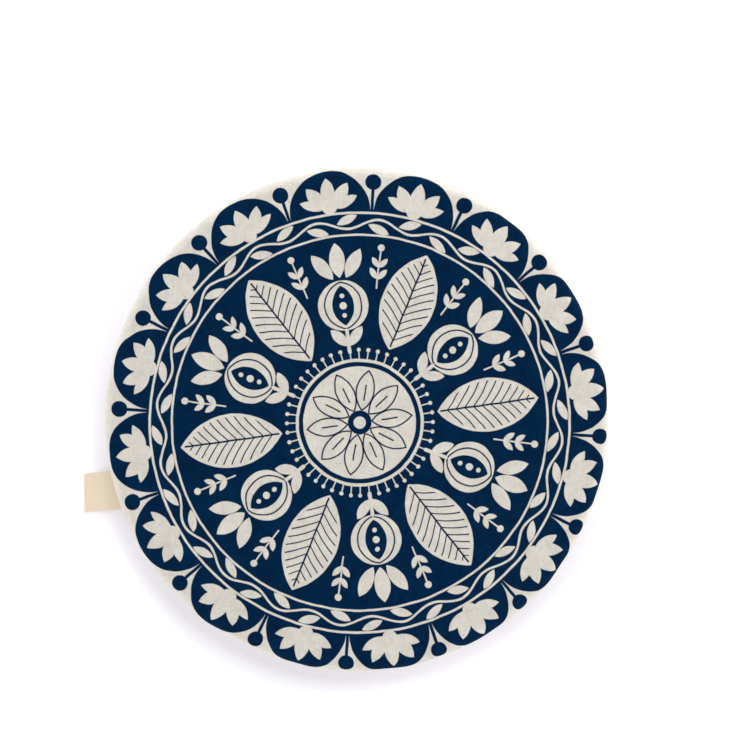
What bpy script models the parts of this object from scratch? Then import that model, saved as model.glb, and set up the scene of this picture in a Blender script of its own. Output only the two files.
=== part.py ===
"""A dish cover: a round of printed cotton that an elastic draws in under a dish's rim.

The flat top lies on the dish's rim in the plane z = 0. From the rim the skirt turns down and
draws in to the hem, growing fuller in gathers as it goes. The hem is folded up inside the
skirt as a casing, and a flat elastic runs round in it. A bare folded tape label is sewn on
the casing's outer face. All sizes are in metres.
"""

import math
from dataclasses import dataclass

import bmesh
import bpy
import numpy as np

# Cloth: the flat top, the turned rim and the skirt
RIM_RADIUS = 0.140
RIM_ROUND = 0.0055
CLOTH_THICKNESS = 0.0005
SKIRT_DROP = 0.022
SEAM_INSET = 0.0115
SKIRT_CURVE = 1.25
RIM_STEPS = 3
SKIRT_STEPS = 2

# Elastic in the hem
HEM_INSET = 0.013
ELASTIC_WIDTH = 0.008
ELASTIC_THICKNESS = 0.001
ELASTIC_CHAMFER = 0.00025
ELASTIC_SEGMENTS = 96

# Casing folded round the elastic
CASING_EASE = 0.002
FOLD_WIDTH = 0.0022
FOLDED_EDGE_GAP = 0.0003
CLEARANCE = 0.0003

# Gathers
GATHERS = 48
POINTS_PER_GATHER = 4
TAKE_UP = 0.75
UNEVEN_WIDTH = 0.22
UNEVEN_DEPTH = 0.20
GATHER_SEED = 11

# Label: a tape folded in half, its two ends sewn on the casing
LABEL_WIDTH = 0.022
LABEL_LENGTH = 0.0322
LABEL_THICKNESS = 0.00035
LABEL_LAYER_GAP = 0.0003
LABEL_TURN_RADIUS = 0.0022
LABEL_HEIGHT = 0.0045
LABEL_SEWN_DROP = 0.0012
LABEL_DROOP = math.radians(4)
LABEL_FACING = math.radians(185.5)
LABEL_ASIDE = 0.0276
LABEL_MARGIN = 0.0015
LABEL_BEND_STEPS = 4

# Meshes
MERGE_DISTANCE = 0.00005
SMOOTH_ANGLE = math.radians(50)

# Sizes that follow from those above
RIM_INSIDE = RIM_RADIUS - CLOTH_THICKNESS
TOP_RADIUS = RIM_INSIDE - RIM_ROUND
SEAM_RADIUS = RIM_INSIDE - SEAM_INSET
HEM_RADIUS = RIM_RADIUS - HEM_INSET
SEAM_HEIGHT = -RIM_ROUND - SKIRT_DROP
CASING_HEIGHT = ELASTIC_WIDTH + 2 * CASING_EASE
FOLD_HEIGHT = SEAM_HEIGHT - CASING_HEIGHT
TABLE_HEIGHT = FOLD_HEIGHT - CLOTH_THICKNESS
ELASTIC_HEIGHT = SEAM_HEIGHT - CASING_HEIGHT / 2
CASING_OUTSIDE = HEM_RADIUS + ELASTIC_THICKNESS / 2 + CLEARANCE
CASING_INSIDE = HEM_RADIUS - ELASTIC_THICKNESS / 2 - CLEARANCE
LABEL_NEAR_SIDE = max(LABEL_ASIDE - LABEL_WIDTH / 2 - LABEL_MARGIN, 0.0)
LABEL_WALL = math.sqrt(CASING_OUTSIDE**2 - LABEL_NEAR_SIDE**2)


@dataclass
class Row:
    """One ring of the cloth's section.

    It moves with the gathers both ways, or only out or in where the elastic is in its way,
    or not at all where it is drawn taut over the dish's rim. Behind is how far it lies inside
    the hem's outer wall, and depth is how far a gather moves it.
    """

    radius: float
    height: float
    moves: str = "both"
    behind: float = 0.0
    depth: float = 0.0


def clear_scene():
    """Remove every object, so that only the cover is left."""
    for leftover in list(bpy.data.objects):
        bpy.data.objects.remove(leftover, do_unlink=True)


def make_collection(name):
    """Return a new collection linked to the scene."""
    collection = bpy.data.collections.new(name)
    bpy.context.scene.collection.children.link(collection)
    return collection


def make_material(name, colour, roughness):
    """Return a cloth material of one colour."""
    material = bpy.data.materials.new(name)
    material.use_nodes = True
    shader = material.node_tree.nodes["Principled BSDF"]
    shader.inputs["Base Color"].default_value = (*colour, 1.0)
    shader.inputs["Roughness"].default_value = roughness
    shader.inputs["Metallic"].default_value = 0.0
    return material


def add_object(name, mesh, collection, material=None):
    """Return a new object that shows the mesh, in the collection."""
    thing = bpy.data.objects.new(name, mesh)
    collection.objects.link(thing)
    if material:
        mesh.materials.append(material)
    return thing


def baked_mesh(thing, name):
    """Return the mesh that an object's modifiers make, and remove the object."""
    bpy.context.view_layer.update()
    graph = bpy.context.evaluated_depsgraph_get()
    mesh = bpy.data.meshes.new_from_object(thing.evaluated_get(graph))
    mesh.name = name
    bpy.data.objects.remove(thing, do_unlink=True)
    return mesh


def line_mesh(name, points, closed=False):
    """Return a mesh of edges through the points, which are (radius, height) pairs."""
    corners = [(radius, 0.0, height) for radius, height in points]
    edges = [(i, i + 1) for i in range(len(points) - 1)]
    if closed:
        edges.append((len(points) - 1, 0))
    mesh = bpy.data.meshes.new(name)
    mesh.from_pydata(corners, edges, [])
    return mesh


def turn(thing, steps):
    """Turn the object's profile round the Z axis with a Screw modifier."""
    screw = thing.modifiers.new("turn", "SCREW")
    screw.axis = "Z"
    screw.angle = 2 * math.pi
    screw.steps = steps
    screw.render_steps = steps
    screw.use_merge_vertices = True
    screw.merge_threshold = MERGE_DISTANCE


def cloth_profile():
    """Return the cloth's section, from the middle of the top to the folded edge.

    The radius and height are of the face that lies inside, towards the dish or the elastic.
    """
    rows = [Row(0.0, 0.0, moves="no")]
    for step in range(RIM_STEPS + 1):
        angle = math.pi / 2 * step / RIM_STEPS
        radius = TOP_RADIUS + RIM_ROUND * math.sin(angle)
        height = -RIM_ROUND + RIM_ROUND * math.cos(angle)
        rows.append(Row(radius, height, moves="no"))
    for step in range(1, SKIRT_STEPS + 1):
        share = step / SKIRT_STEPS
        radius = RIM_INSIDE - SEAM_INSET * share**SKIRT_CURVE
        rows.append(Row(radius, -RIM_ROUND - SKIRT_DROP * share))
    seam = rows[-1]
    reach = ELASTIC_WIDTH / 2 + CLEARANCE
    rows.append(Row(CASING_OUTSIDE, ELASTIC_HEIGHT + reach, moves="out"))
    rows.append(Row(CASING_OUTSIDE, ELASTIC_HEIGHT - reach, moves="out"))
    rows.append(Row(HEM_RADIUS + FOLD_WIDTH / 2, FOLD_HEIGHT))
    fold = rows[-1]
    rows.append(Row(HEM_RADIUS - FOLD_WIDTH / 2, FOLD_HEIGHT, behind=FOLD_WIDTH))
    tunnel = CASING_OUTSIDE - CASING_INSIDE
    rows.append(Row(CASING_INSIDE, ELASTIC_HEIGHT - reach, moves="in", behind=tunnel))
    rows.append(Row(CASING_INSIDE, ELASTIC_HEIGHT + reach, moves="in", behind=tunnel))
    rows.append(Row(SEAM_RADIUS - FOLDED_EDGE_GAP, SEAM_HEIGHT, behind=FOLDED_EDGE_GAP))
    cut_radius = 0.0
    for last, row in zip(rows, rows[1:]):
        cut_radius += math.hypot(row.radius - last.radius, row.height - last.height)
        row.depth = gather_depth(cut_radius, row.radius)
    rows[rows.index(fold) + 1].depth = fold.depth
    rows[-1].depth = seam.depth
    return rows, seam


def gather_depth(cut_radius, radius):
    """Return the depth of a gather that takes up the cloth's spare length at a radius.

    The cut radius is how far that ring of the cloth lies from the middle of the flat round.
    """
    fullness = max(cut_radius / radius, 1.0)
    quarter = 2 * math.pi * radius / GATHERS / 4
    return TAKE_UP * quarter * math.sqrt(fullness**2 - 1)


def gather_layout():
    """Return each column's angle and wave: +1 on a crest, -1 in a hollow, 0 between them."""
    rng = np.random.default_rng(GATHER_SEED)
    widths = 1 + UNEVEN_WIDTH * rng.uniform(-1, 1, GATHERS)
    widths *= 2 * math.pi / widths.sum()
    depths = 1 + UNEVEN_DEPTH * rng.uniform(-1, 1, GATHERS)
    angles = []
    waves = []
    start = 0.0
    for width, depth in zip(widths, depths):
        for step in range(POINTS_PER_GATHER):
            share = step / POINTS_PER_GATHER
            angles.append(start + width * share)
            waves.append(depth * math.sin(2 * math.pi * share))
        start += width
    return angles, waves


def label_hold(angle):
    """Return how fully the label flattens the gathers at an angle, from 0 to 1."""
    turned = math.remainder(angle - LABEL_FACING, 2 * math.pi)
    if abs(turned) > math.pi / 3:
        return 0.0
    beyond = abs(LABEL_WALL * math.tan(turned) - LABEL_ASIDE) - LABEL_WIDTH / 2 - LABEL_MARGIN
    gather_width = 2 * math.pi * HEM_RADIUS / GATHERS
    share = min(max(1 - beyond / gather_width, 0.0), 1.0)
    return share * share * (3 - 2 * share)


def gathered_radius(row, angle, wave, seam_depth):
    """Return how far a point of a row moves outwards with the gathers and the label."""
    move = row.depth * wave
    hold = label_hold(angle)
    if hold > 0:
        flat = LABEL_WALL / math.cos(angle - LABEL_FACING) - row.behind - row.radius
        move = (1 - hold) * move + hold * min(row.depth / seam_depth, 1.0) * flat
    if row.moves == "no":
        return 0.0
    if row.moves == "out":
        return max(move, 0.0)
    if row.moves == "in":
        return min(move, 0.0)
    return move


def shape_gathers(mesh, rows, seam):
    """Move the turned surface's points out and in, so that they follow the gathers."""
    angles, waves = gather_layout()
    columns = len(angles)
    for vertex in mesh.vertices:
        radius = math.hypot(vertex.co.x, vertex.co.y)
        row = min(rows, key=lambda r: math.hypot(r.radius - radius, r.height - vertex.co.z))
        turned = math.atan2(vertex.co.y, vertex.co.x) % (2 * math.pi)
        column = round(turned / (2 * math.pi) * columns) % columns
        move = gathered_radius(row, angles[column], waves[column], seam.depth)
        vertex.co.x = (row.radius + move) * math.cos(angles[column])
        vertex.co.y = (row.radius + move) * math.sin(angles[column])
        vertex.co.z = row.height


def settle_on_table(mesh):
    """Press the underside of the fold flat, where the cover stands on a table."""
    for vertex in mesh.vertices:
        if vertex.co.z < FOLD_HEIGHT - CLOTH_THICKNESS / 4:
            vertex.co.z = TABLE_HEIGHT


def shade_smooth(mesh, angle):
    """Shade the mesh smooth, with sharp edges where faces meet at more than the angle."""
    mesh.shade_smooth()
    mesh.set_sharp_from_angle(angle=angle)


def build_cloth(collection, material):
    """Make the cloth: a turned section, gathered, then given its thickness outwards."""
    rows, seam = cloth_profile()
    section = [(row.radius, row.height) for row in rows]
    turned = add_object("cloth_section", line_mesh("cloth_section", section), collection)
    turn(turned, GATHERS * POINTS_PER_GATHER)
    surface = baked_mesh(turned, "cloth_surface")
    shape_gathers(surface, rows, seam)
    sheet = add_object("cloth_sheet", surface, collection)
    solid = sheet.modifiers.new("thickness", "SOLIDIFY")
    solid.thickness = CLOTH_THICKNESS
    solid.offset = 1.0
    solid.use_even_offset = False
    mesh = baked_mesh(sheet, "cover_cloth")
    settle_on_table(mesh)
    shade_smooth(mesh, SMOOTH_ANGLE)
    return add_object("cover_cloth", mesh, collection, material)


def build_elastic(collection, material):
    """Make the elastic: a flat band turned into a ring, standing in the casing."""
    inner = HEM_RADIUS - ELASTIC_THICKNESS / 2
    outer = HEM_RADIUS + ELASTIC_THICKNESS / 2
    top = ELASTIC_HEIGHT + ELASTIC_WIDTH / 2
    bottom = ELASTIC_HEIGHT - ELASTIC_WIDTH / 2
    cut = ELASTIC_CHAMFER
    section = [
        (inner + cut, top),
        (outer - cut, top),
        (outer, top - cut),
        (outer, bottom + cut),
        (outer - cut, bottom),
        (inner + cut, bottom),
        (inner, bottom + cut),
        (inner, top - cut),
    ]
    band = line_mesh("hem_elastic", section, closed=True)
    ring = add_object("hem_elastic", band, collection, material)
    turn(ring, ELASTIC_SEGMENTS)
    return ring


def label_path():
    """Return the tape's path in side view, as (distance from the casing, height) pairs."""
    spacing = LABEL_THICKNESS + LABEL_LAYER_GAP
    outer_turn = LABEL_TURN_RADIUS + spacing
    centre_out = CLEARANCE + LABEL_THICKNESS / 2 + outer_turn
    centre_up = TABLE_HEIGHT + LABEL_HEIGHT + outer_turn
    top = SEAM_HEIGHT - LABEL_SEWN_DROP
    sweep = math.pi / 2 - LABEL_DROOP
    reach = LABEL_LENGTH - centre_out
    along = (math.cos(LABEL_DROOP), -math.sin(LABEL_DROOP))
    under = (-math.sin(LABEL_DROOP), -math.cos(LABEL_DROOP))

    def bend(radius):
        steps = LABEL_BEND_STEPS
        turned = [math.pi + sweep * step / steps for step in range(steps + 1)]
        return [
            (centre_out + radius * math.cos(a), centre_up + radius * math.sin(a)) for a in turned
        ]

    path = [(centre_out - outer_turn, top), *bend(outer_turn)]
    middle = outer_turn - spacing / 2
    end = (
        centre_out + reach * along[0] + middle * under[0],
        centre_up + reach * along[1] + middle * under[1],
    )
    for step in range(LABEL_BEND_STEPS + 1):
        a = math.pi * step / LABEL_BEND_STEPS
        down = math.cos(a) * spacing / 2
        out = math.sin(a) * spacing / 2
        path.append(
            (end[0] + under[0] * down + along[0] * out, end[1] + under[1] * down + along[1] * out)
        )
    path += reversed(bend(LABEL_TURN_RADIUS))
    path.append((centre_out - LABEL_TURN_RADIUS, top))
    return path


def build_label(collection, material):
    """Make the label: the tape's path drawn out to its width, then given its thickness."""
    path = label_path()
    shape = bmesh.new()
    corners = [shape.verts.new((out, -LABEL_WIDTH / 2, up)) for out, up in path]
    edges = [shape.edges.new(pair) for pair in zip(corners, corners[1:])]
    drawn = bmesh.ops.extrude_edge_only(shape, edges=edges)
    moved = [item for item in drawn["geom"] if isinstance(item, bmesh.types.BMVert)]
    bmesh.ops.translate(shape, verts=moved, vec=(0.0, LABEL_WIDTH, 0.0))
    mesh = bpy.data.meshes.new("side_label")
    shape.to_mesh(mesh)
    shape.free()
    label = add_object("side_label", mesh, collection, material)
    solid = label.modifiers.new("thickness", "SOLIDIFY")
    solid.thickness = LABEL_THICKNESS
    solid.offset = 0.0
    wall = LABEL_WALL + CLOTH_THICKNESS
    label.location = (
        wall * math.cos(LABEL_FACING) - LABEL_ASIDE * math.sin(LABEL_FACING),
        wall * math.sin(LABEL_FACING) + LABEL_ASIDE * math.cos(LABEL_FACING),
        0.0,
    )
    label.rotation_euler = (0.0, 0.0, LABEL_FACING)
    return label


def main():
    """Build the cover's three pieces."""
    clear_scene()
    collection = make_collection("dish_cover")
    cotton = make_material("printed_cotton", (0.73, 0.69, 0.61), 0.9)
    rubber = make_material("white_elastic", (0.80, 0.79, 0.76), 0.8)
    tape = make_material("cotton_tape", (0.83, 0.69, 0.51), 0.85)
    build_cloth(collection, cotton)
    build_elastic(collection, rubber)
    build_label(collection, tape)


main()
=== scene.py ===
"""Looks of the dish cover: printed cotton, gathered hem, stitching, elastic and a bare tape label.

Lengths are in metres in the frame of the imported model, and the print's own lengths are in
millimetres on the flat cloth.
"""

import logging
import math
from dataclasses import dataclass, field
from enum import Enum

import bpy
import numpy as np
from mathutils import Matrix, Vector


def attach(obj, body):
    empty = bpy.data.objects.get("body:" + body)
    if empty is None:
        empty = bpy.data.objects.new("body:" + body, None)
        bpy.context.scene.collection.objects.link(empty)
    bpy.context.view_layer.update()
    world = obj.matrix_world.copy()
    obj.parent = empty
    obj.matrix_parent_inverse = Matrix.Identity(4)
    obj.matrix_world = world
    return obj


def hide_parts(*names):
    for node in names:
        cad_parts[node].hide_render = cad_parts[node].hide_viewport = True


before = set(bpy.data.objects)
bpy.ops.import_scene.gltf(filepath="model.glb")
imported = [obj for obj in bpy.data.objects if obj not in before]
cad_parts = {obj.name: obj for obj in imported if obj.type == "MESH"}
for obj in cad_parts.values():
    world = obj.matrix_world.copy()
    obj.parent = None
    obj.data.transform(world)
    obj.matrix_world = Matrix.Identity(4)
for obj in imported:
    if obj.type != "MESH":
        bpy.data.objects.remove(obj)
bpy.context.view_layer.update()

LOG = logging.getLogger("dish_cover")
BODY = "root"
FULL_TURN = 2 * math.pi
MILLIMETRES = 1000.0
THREAD_SMOOTHING = math.radians(50)

RGB = tuple[float, float, float]
Point = tuple[float, float, float]
Place = tuple[float, float]
Span = tuple[float, float, float]


class Node(Enum):
    """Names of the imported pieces."""

    CLOTH = "cover_cloth"
    ELASTIC = "hem_elastic"
    LABEL = "side_label"


class Slot(Enum):
    """Names of the record's material slots."""

    COTTON = "printed_cotton"
    TAPE = "cotton_tape"


def smoothstep(share: "np.ndarray | float") -> "np.ndarray | float":
    """Return the share, held between 0 and 1 and eased at both ends."""
    held = np.clip(share, 0.0, 1.0)
    return held * held * (3 - 2 * held)


def about_zero(angles: np.ndarray) -> np.ndarray:
    """Return the angles, folded into the turn from minus half to plus half."""
    return (angles + math.pi) % FULL_TURN - math.pi


def linear(colour: RGB) -> tuple[float, float, float, float]:
    """Turn a colour as it is seen on a screen into the renderer's linear colour.

    Args:
        colour: Red, green and blue from 0 to 255.

    Returns:
        Red, green, blue and an alpha of 1, from 0 to 1.
    """
    shares = [c / 255 for c in colour]
    steps = [s / 12.92 if s <= 0.04045 else ((s + 0.055) / 1.055) ** 2.4 for s in shares]
    return (steps[0], steps[1], steps[2], 1.0)


def deselect_all() -> None:
    """Deselect every object, so that an operator acts on the new one alone."""
    bpy.ops.object.select_all(action="DESELECT")


def make_active(thing: bpy.types.Object) -> None:
    """Select one object alone and make it the active one.

    Args:
        thing: The object.
    """
    deselect_all()
    thing.select_set(True)
    bpy.context.view_layer.objects.active = thing


def apply_modifiers(thing: bpy.types.Object) -> None:
    """Apply all the object's modifiers in their order.

    Args:
        thing: The object.
    """
    make_active(thing)
    for modifier in list(thing.modifiers):
        bpy.ops.object.modifier_apply(modifier=modifier.name)


def place_in_mesh(thing: bpy.types.Object) -> None:
    """Move the object's place, turn and scale into its mesh."""
    make_active(thing)
    bpy.ops.object.transform_apply(location=True, rotation=True, scale=True)


def linked(name: str, data: bpy.types.ID) -> bpy.types.Object:
    """Make an object that shows the data, and link it to the scene.

    Args:
        name: The object's name.
        data: Its mesh, curve, light or camera.

    Returns:
        The new object.
    """
    thing = bpy.data.objects.new(name, data)
    bpy.context.scene.collection.objects.link(thing)
    return thing


def line_object(name: str, points: list[Point]) -> bpy.types.Object:
    """Make an object of edges that join the points in a row.

    Args:
        name: The object's name.
        points: The corners, in their order.

    Returns:
        The new object, linked to the scene.
    """
    mesh = bpy.data.meshes.new(name)
    mesh.from_pydata(points, [(i, i + 1) for i in range(len(points) - 1)], [])
    return linked(name, mesh)


class Field:
    """A number that varies over a surface, held as one output of a material's node tree."""

    def __init__(self, tree: bpy.types.NodeTree, socket: bpy.types.NodeSocket) -> None:
        """Hold the output socket of a node in the tree."""
        self.tree = tree
        self.socket = socket

    def math(self, operation: str, *others: "Field | float", clamp: bool = False) -> "Field":
        """Return the result of a Math node on this field and the others.

        Args:
            operation: The Math node's operation.
            others: The second and third inputs, as fields or plain numbers.
            clamp: Whether the result is held between 0 and 1.

        Returns:
            The field that the node gives.
        """
        node = self.tree.nodes.new("ShaderNodeMath")
        node.operation = operation
        node.use_clamp = clamp
        self.tree.links.new(self.socket, node.inputs[0])
        for index, other in enumerate(others, start=1):
            if isinstance(other, Field):
                self.tree.links.new(other.socket, node.inputs[index])
            else:
                node.inputs[index].default_value = other
        return Field(self.tree, node.outputs[0])

    def __add__(self, other: "Field | float") -> "Field":
        """Add a field or a number."""
        return self.math("ADD", other)

    def __sub__(self, other: "Field | float") -> "Field":
        """Take away a field or a number."""
        return self.math("SUBTRACT", other)

    def __mul__(self, other: "Field | float") -> "Field":
        """Multiply by a field or a number."""
        return self.math("MULTIPLY", other)

    def __truediv__(self, other: "Field | float") -> "Field":
        """Divide by a field or a number."""
        return self.math("DIVIDE", other)

    def __neg__(self) -> "Field":
        """Change the sign."""
        return self.math("MULTIPLY", -1.0)

    def size(self) -> "Field":
        """Drop the sign."""
        return self.math("ABSOLUTE")

    def cos(self) -> "Field":
        """Take the cosine."""
        return self.math("COSINE")

    def sin(self) -> "Field":
        """Take the sine."""
        return self.math("SINE")

    def wrap(self, period: float) -> "Field":
        """Fold the number into the period about 0."""
        return self.math("WRAP", -period / 2, period / 2)

    def least(self, other: "Field | float") -> "Field":
        """Take the smaller of two: the union of two shapes."""
        return self.math("MINIMUM", other)

    def most(self, other: "Field | float") -> "Field":
        """Take the larger of two: where two shapes overlap."""
        return self.math("MAXIMUM", other)

    def without(self, other: "Field") -> "Field":
        """Cut another shape out of this one."""
        return self.most(-other)

    def line(self, width: float) -> "Field":
        """Turn a shape into a line of this width along its edge."""
        return self.size() - width / 2

    def hypot(self, other: "Field") -> "Field":
        """Return the length of the two as the sides of a right angle."""
        return (self * self + other * other).math("SQRT")

    def plus_held(self, number: float) -> "Field":
        """Add a number, and hold the result between 0 and 1."""
        return self.math("ADD", number, clamp=True)

    def covered(self, softness: float) -> "Field":
        """Turn a signed distance into ink: 1 inside the shape and 0 outside it."""
        return (self / -softness).plus_held(0.5)


@dataclass
class Plane:
    """A pair of fields that place every point of the cloth on the flat print, in millimetres."""

    x: Field
    y: Field

    def moved(self, x: float, y: float) -> "Plane":
        """Return the plane with its middle moved to a point."""
        return Plane(self.x - x, self.y - y)

    def mirrored(self) -> "Plane":
        """Return the plane folded along X, so that one drawing shows on both sides."""
        return Plane(self.x, self.y.size())

    def turned(self, angle: float) -> "Plane":
        """Return the plane turned about its middle.

        Args:
            angle: The angle that its X axis then points along.

        Returns:
            The turned plane.
        """
        c = math.cos(angle)
        s = math.sin(angle)
        return Plane(self.x * c + self.y * s, self.y * c - self.x * s)

    def radius(self) -> Field:
        """Return the distance from the middle."""
        return self.x.hypot(self.y)

    def angle(self) -> Field:
        """Return the angle round the middle."""
        return self.y.math("ARCTAN2", self.x)

    def sectors(self, count: int, turn: float = 0.0) -> "Plane":
        """Fold the plane into one sector that repeats round the middle.

        Args:
            count: How many sectors there are.
            turn: The angle of the first sector's axis.

        Returns:
            A plane whose X axis runs out along the nearest sector's axis.
        """
        radius = self.radius()
        folded = (self.angle() - turn).wrap(FULL_TURN / count)
        return Plane(radius * folded.cos(), radius * folded.sin())

    def disc(self, x: float, radius: float) -> Field:
        """Return the signed distance from a disc whose middle is on the X axis."""
        return self.moved(x, 0.0).radius() - radius

    def leaf(self, start: float, end: float, half_width: float) -> Field:
        """Return the signed distance from a leaf along X, pointed at both ends.

        Args:
            start: Where the leaf begins on the X axis.
            end: Where it ends.
            half_width: Half its width at the middle.

        Returns:
            The distance, below 0 inside the leaf.
        """
        half = (end - start) / 2
        bow = (half * half + half_width * half_width) / (2 * half_width)
        across = self.y.size() + (bow - half_width)
        return (self.x - (start + end) / 2).hypot(across) - bow

    def veins(self, spacing: float, slant: float, bend: float) -> Field:
        """Return the middles of lines that leave the X axis on both sides, slanting outwards.

        Args:
            spacing: How far apart the lines leave the axis.
            slant: How far a line runs outwards for each millimetre aside.
            bend: How soon it bends back, for each square millimetre.

        Returns:
            The distance from the nearest line, along X and with its sign.
        """
        side = self.y.size()
        along = self.x - side * slant + side * side * bend
        return along.wrap(spacing)

    def bar(self, start: float, end: float, half_width: float) -> Field:
        """Return the signed distance from a straight bar along X with round ends."""
        over = (self.x - (start + end) / 2).size() - (end - start) / 2
        return over.most(0.0).hypot(self.y) - half_width


@dataclass(frozen=True)
class Sprout:
    """A pair of pointed leaves that grow aside from a stem along X, in millimetres.

    Along and aside place their feet, lean is their angle to the stem, and span is a leaf's
    start, end and half width.
    """

    along: float
    aside: float
    lean: float
    span: Span

    def on(self, plane: Plane) -> Field:
        """Return the signed distance from the pair of leaves on a plane."""
        foot = plane.mirrored().moved(self.along, self.aside)
        return foot.turned(math.radians(self.lean)).leaf(*self.span)


@dataclass(frozen=True)
class Rosette:
    """The print: leaves, seed heads, sprigs, a vine and lobes in rings, in millimetres.

    A leaf or a bar is given by its start, its end and half its width, and a disc by its place
    on the sector's axis and its radius.
    """

    offset: Place = (1.8, -1.6)
    turn: float = math.radians(8)
    hand_wobble: float = 0.5
    edge: float = 0.35
    fine_line: float = 0.85

    flower_radius: float = 31.2
    petals: int = 10
    petal: Span = (6.8, 29.2, 4.9)
    petal_rib: Place = (12.5, 21.0)
    eye_radius: float = 6.6
    pupil_radius: float = 3.4
    flower_ring: Place = (34.6, 1.7)
    ray_count: int = 48
    ray: Span = (35.0, 39.4, 0.32)
    ray_bead: Place = (40.5, 1.1)

    leaf_count: int = 6
    blade: Span = (43.5, 100.0, 14.8)
    veined: Span = (46.5, 97.0, 13.2)
    leaf_rib: Span = (45.5, 97.5, 0.51)
    vein_spacing: float = 4.9
    vein_slant: float = 0.95
    vein_bend: float = 0.95 / 60

    head_at: float = 65.5
    head_radius: float = 14.0
    head_core: Span = (-11.2, 11.2, 6.0)
    head_cheek: Span = (-13.1, 13.1, 10.2)
    head_seeds: tuple[Place, ...] = ((-5.4, 1.3), (0.0, 2.0), (5.4, 1.3))
    head_tongue: Span = (15.5, 35.0, 4.4)
    head_crown: Sprout = Sprout(14.6, 3.4, 34.0, (0.5, 18.5, 3.7))
    head_stem: Span = (39.5, 51.5, 1.0)
    stem_leaves: Sprout = Sprout(42.5, 0.0, 40.0, (0.5, 13.5, 2.8))

    sprig_stem: Span = (75.0, 96.0, 0.42)
    sprig_berry: Place = (97.6, 1.9)
    sprig_leaves: tuple[Sprout, ...] = (
        Sprout(80.0, 0.0, 38.0, (0.2, 7.6, 1.6)),
        Sprout(86.5, 0.0, 38.0, (0.2, 7.0, 1.5)),
    )

    vine_waves: int = 20
    vine_radius: float = 110.2
    vine_swing: float = 2.6
    vine_width: float = 1.3
    vine_rings: tuple[Place, ...] = ((104.2, 1.2), (116.4, 1.3))
    vine_leaf: Span = (-6.4, 6.0, 2.3)
    vine_leaves_at: Place = (107.7, 112.7)
    vine_lean: float = math.radians(68)

    lobes: int = 16
    lobe: Place = (118.5, 22.3)
    ground_radius: float = 118.5
    notch_berry: Place = (133.4, 4.4)
    notch_stem: Span = (118.0, 133.0, 0.9)
    lobe_petal: Span = (119.0, 136.4, 4.0)
    lobe_base: Place = (120.6, 4.2)
    lobe_petals: tuple[Sprout, ...] = (
        Sprout(118.8, 1.6, 36.0, (0.5, 17.0, 3.6)),
        Sprout(119.6, 1.5, 70.0, (0.5, 15.5, 2.8)),
    )

    def flower(self, plane: Plane) -> Field:
        """Return the daisy in the middle: a pale disc with drawn petals and a ring round it.

        Args:
            plane: The print's plane.

        Returns:
            The signed distance from the bare cloth that it leaves.
        """
        sector = plane.sectors(self.petals)
        petal = sector.leaf(*self.petal).line(self.fine_line)
        rib = sector.bar(*self.petal_rib, self.fine_line / 2)
        eye = plane.disc(0.0, self.eye_radius).without(plane.disc(0.0, self.pupil_radius))
        drawn = petal.least(rib).least(eye)
        ring_radius, ring_width = self.flower_ring
        ring = (plane.radius() - ring_radius).line(ring_width)
        return (plane.radius() - self.flower_radius).without(drawn).least(ring)

    def rays(self, plane: Plane) -> Field:
        """Return the fine rays round the flower, each with a bead at its end."""
        sector = plane.sectors(self.ray_count)
        return sector.bar(*self.ray).least(sector.disc(*self.ray_bead))

    def leaves(self, plane: Plane) -> Field:
        """Return the large leaves with their drawn veins.

        Args:
            plane: The print's plane.

        Returns:
            The signed distance from the bare cloth that they leave.
        """
        sector = plane.sectors(self.leaf_count)
        veins = sector.veins(self.vein_spacing, self.vein_slant, self.vein_bend)
        veins = veins.line(self.fine_line).most(sector.leaf(*self.veined))
        rib = sector.bar(*self.leaf_rib)
        return sector.leaf(*self.blade).without(veins).without(rib)

    def seed_heads(self, plane: Plane) -> Field:
        """Return the seed heads between the leaves, with stems, side leaves and crowns.

        Args:
            plane: The print's plane.

        Returns:
            The signed distance from the bare cloth that they leave.
        """
        sector = plane.sectors(self.leaf_count, math.pi / self.leaf_count)
        head = sector.moved(self.head_at, 0.0)
        cheek = head.leaf(*self.head_cheek).line(self.fine_line)
        whole = head.disc(0.0, self.head_radius)
        whole = whole.without(head.leaf(*self.head_core)).without(cheek)
        for seed in self.head_seeds:
            whole = whole.least(head.disc(*seed))
        crown = head.leaf(*self.head_tongue).least(self.head_crown.on(head))
        stem = sector.bar(*self.head_stem).least(self.stem_leaves.on(sector))
        return whole.least(crown).least(stem)

    def sprigs(self, plane: Plane) -> Field:
        """Return the small sprigs that fill the ground beside the leaves.

        Args:
            plane: The print's plane.

        Returns:
            The signed distance from them.
        """
        count = 2 * self.leaf_count
        sector = plane.sectors(count, math.pi / count)
        whole = sector.bar(*self.sprig_stem).least(sector.disc(*self.sprig_berry))
        for leaves in self.sprig_leaves:
            whole = whole.least(leaves.on(sector))
        return whole

    def vine(self, plane: Plane) -> Field:
        """Return the scrolling vine with a leaf at each wave's crest, between two rings.

        Args:
            plane: The print's plane.

        Returns:
            The signed distance from it.
        """
        radius = plane.radius()
        swing = (plane.angle() * float(self.vine_waves)).sin() * self.vine_swing
        whole = (radius - (swing + self.vine_radius)).line(self.vine_width)
        for ring_radius, ring_width in self.vine_rings:
            whole = whole.least((radius - ring_radius).line(ring_width))
        crest = math.pi / (2 * self.vine_waves)
        for side, leaf_at in zip((1, -1), self.vine_leaves_at):
            foot = plane.sectors(self.vine_waves, side * crest).moved(leaf_at, 0.0)
            whole = whole.least(foot.turned(side * self.vine_lean).leaf(*self.vine_leaf))
        return whole

    def lobe_flowers(self, plane: Plane) -> Field:
        """Return a five-petalled flower in each lobe of the border.

        Args:
            plane: The print's plane.

        Returns:
            The signed distance from them.
        """
        sector = plane.sectors(self.lobes)
        whole = sector.leaf(*self.lobe_petal).least(sector.disc(*self.lobe_base))
        for petals in self.lobe_petals:
            whole = whole.least(petals.on(sector))
        return whole

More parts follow.
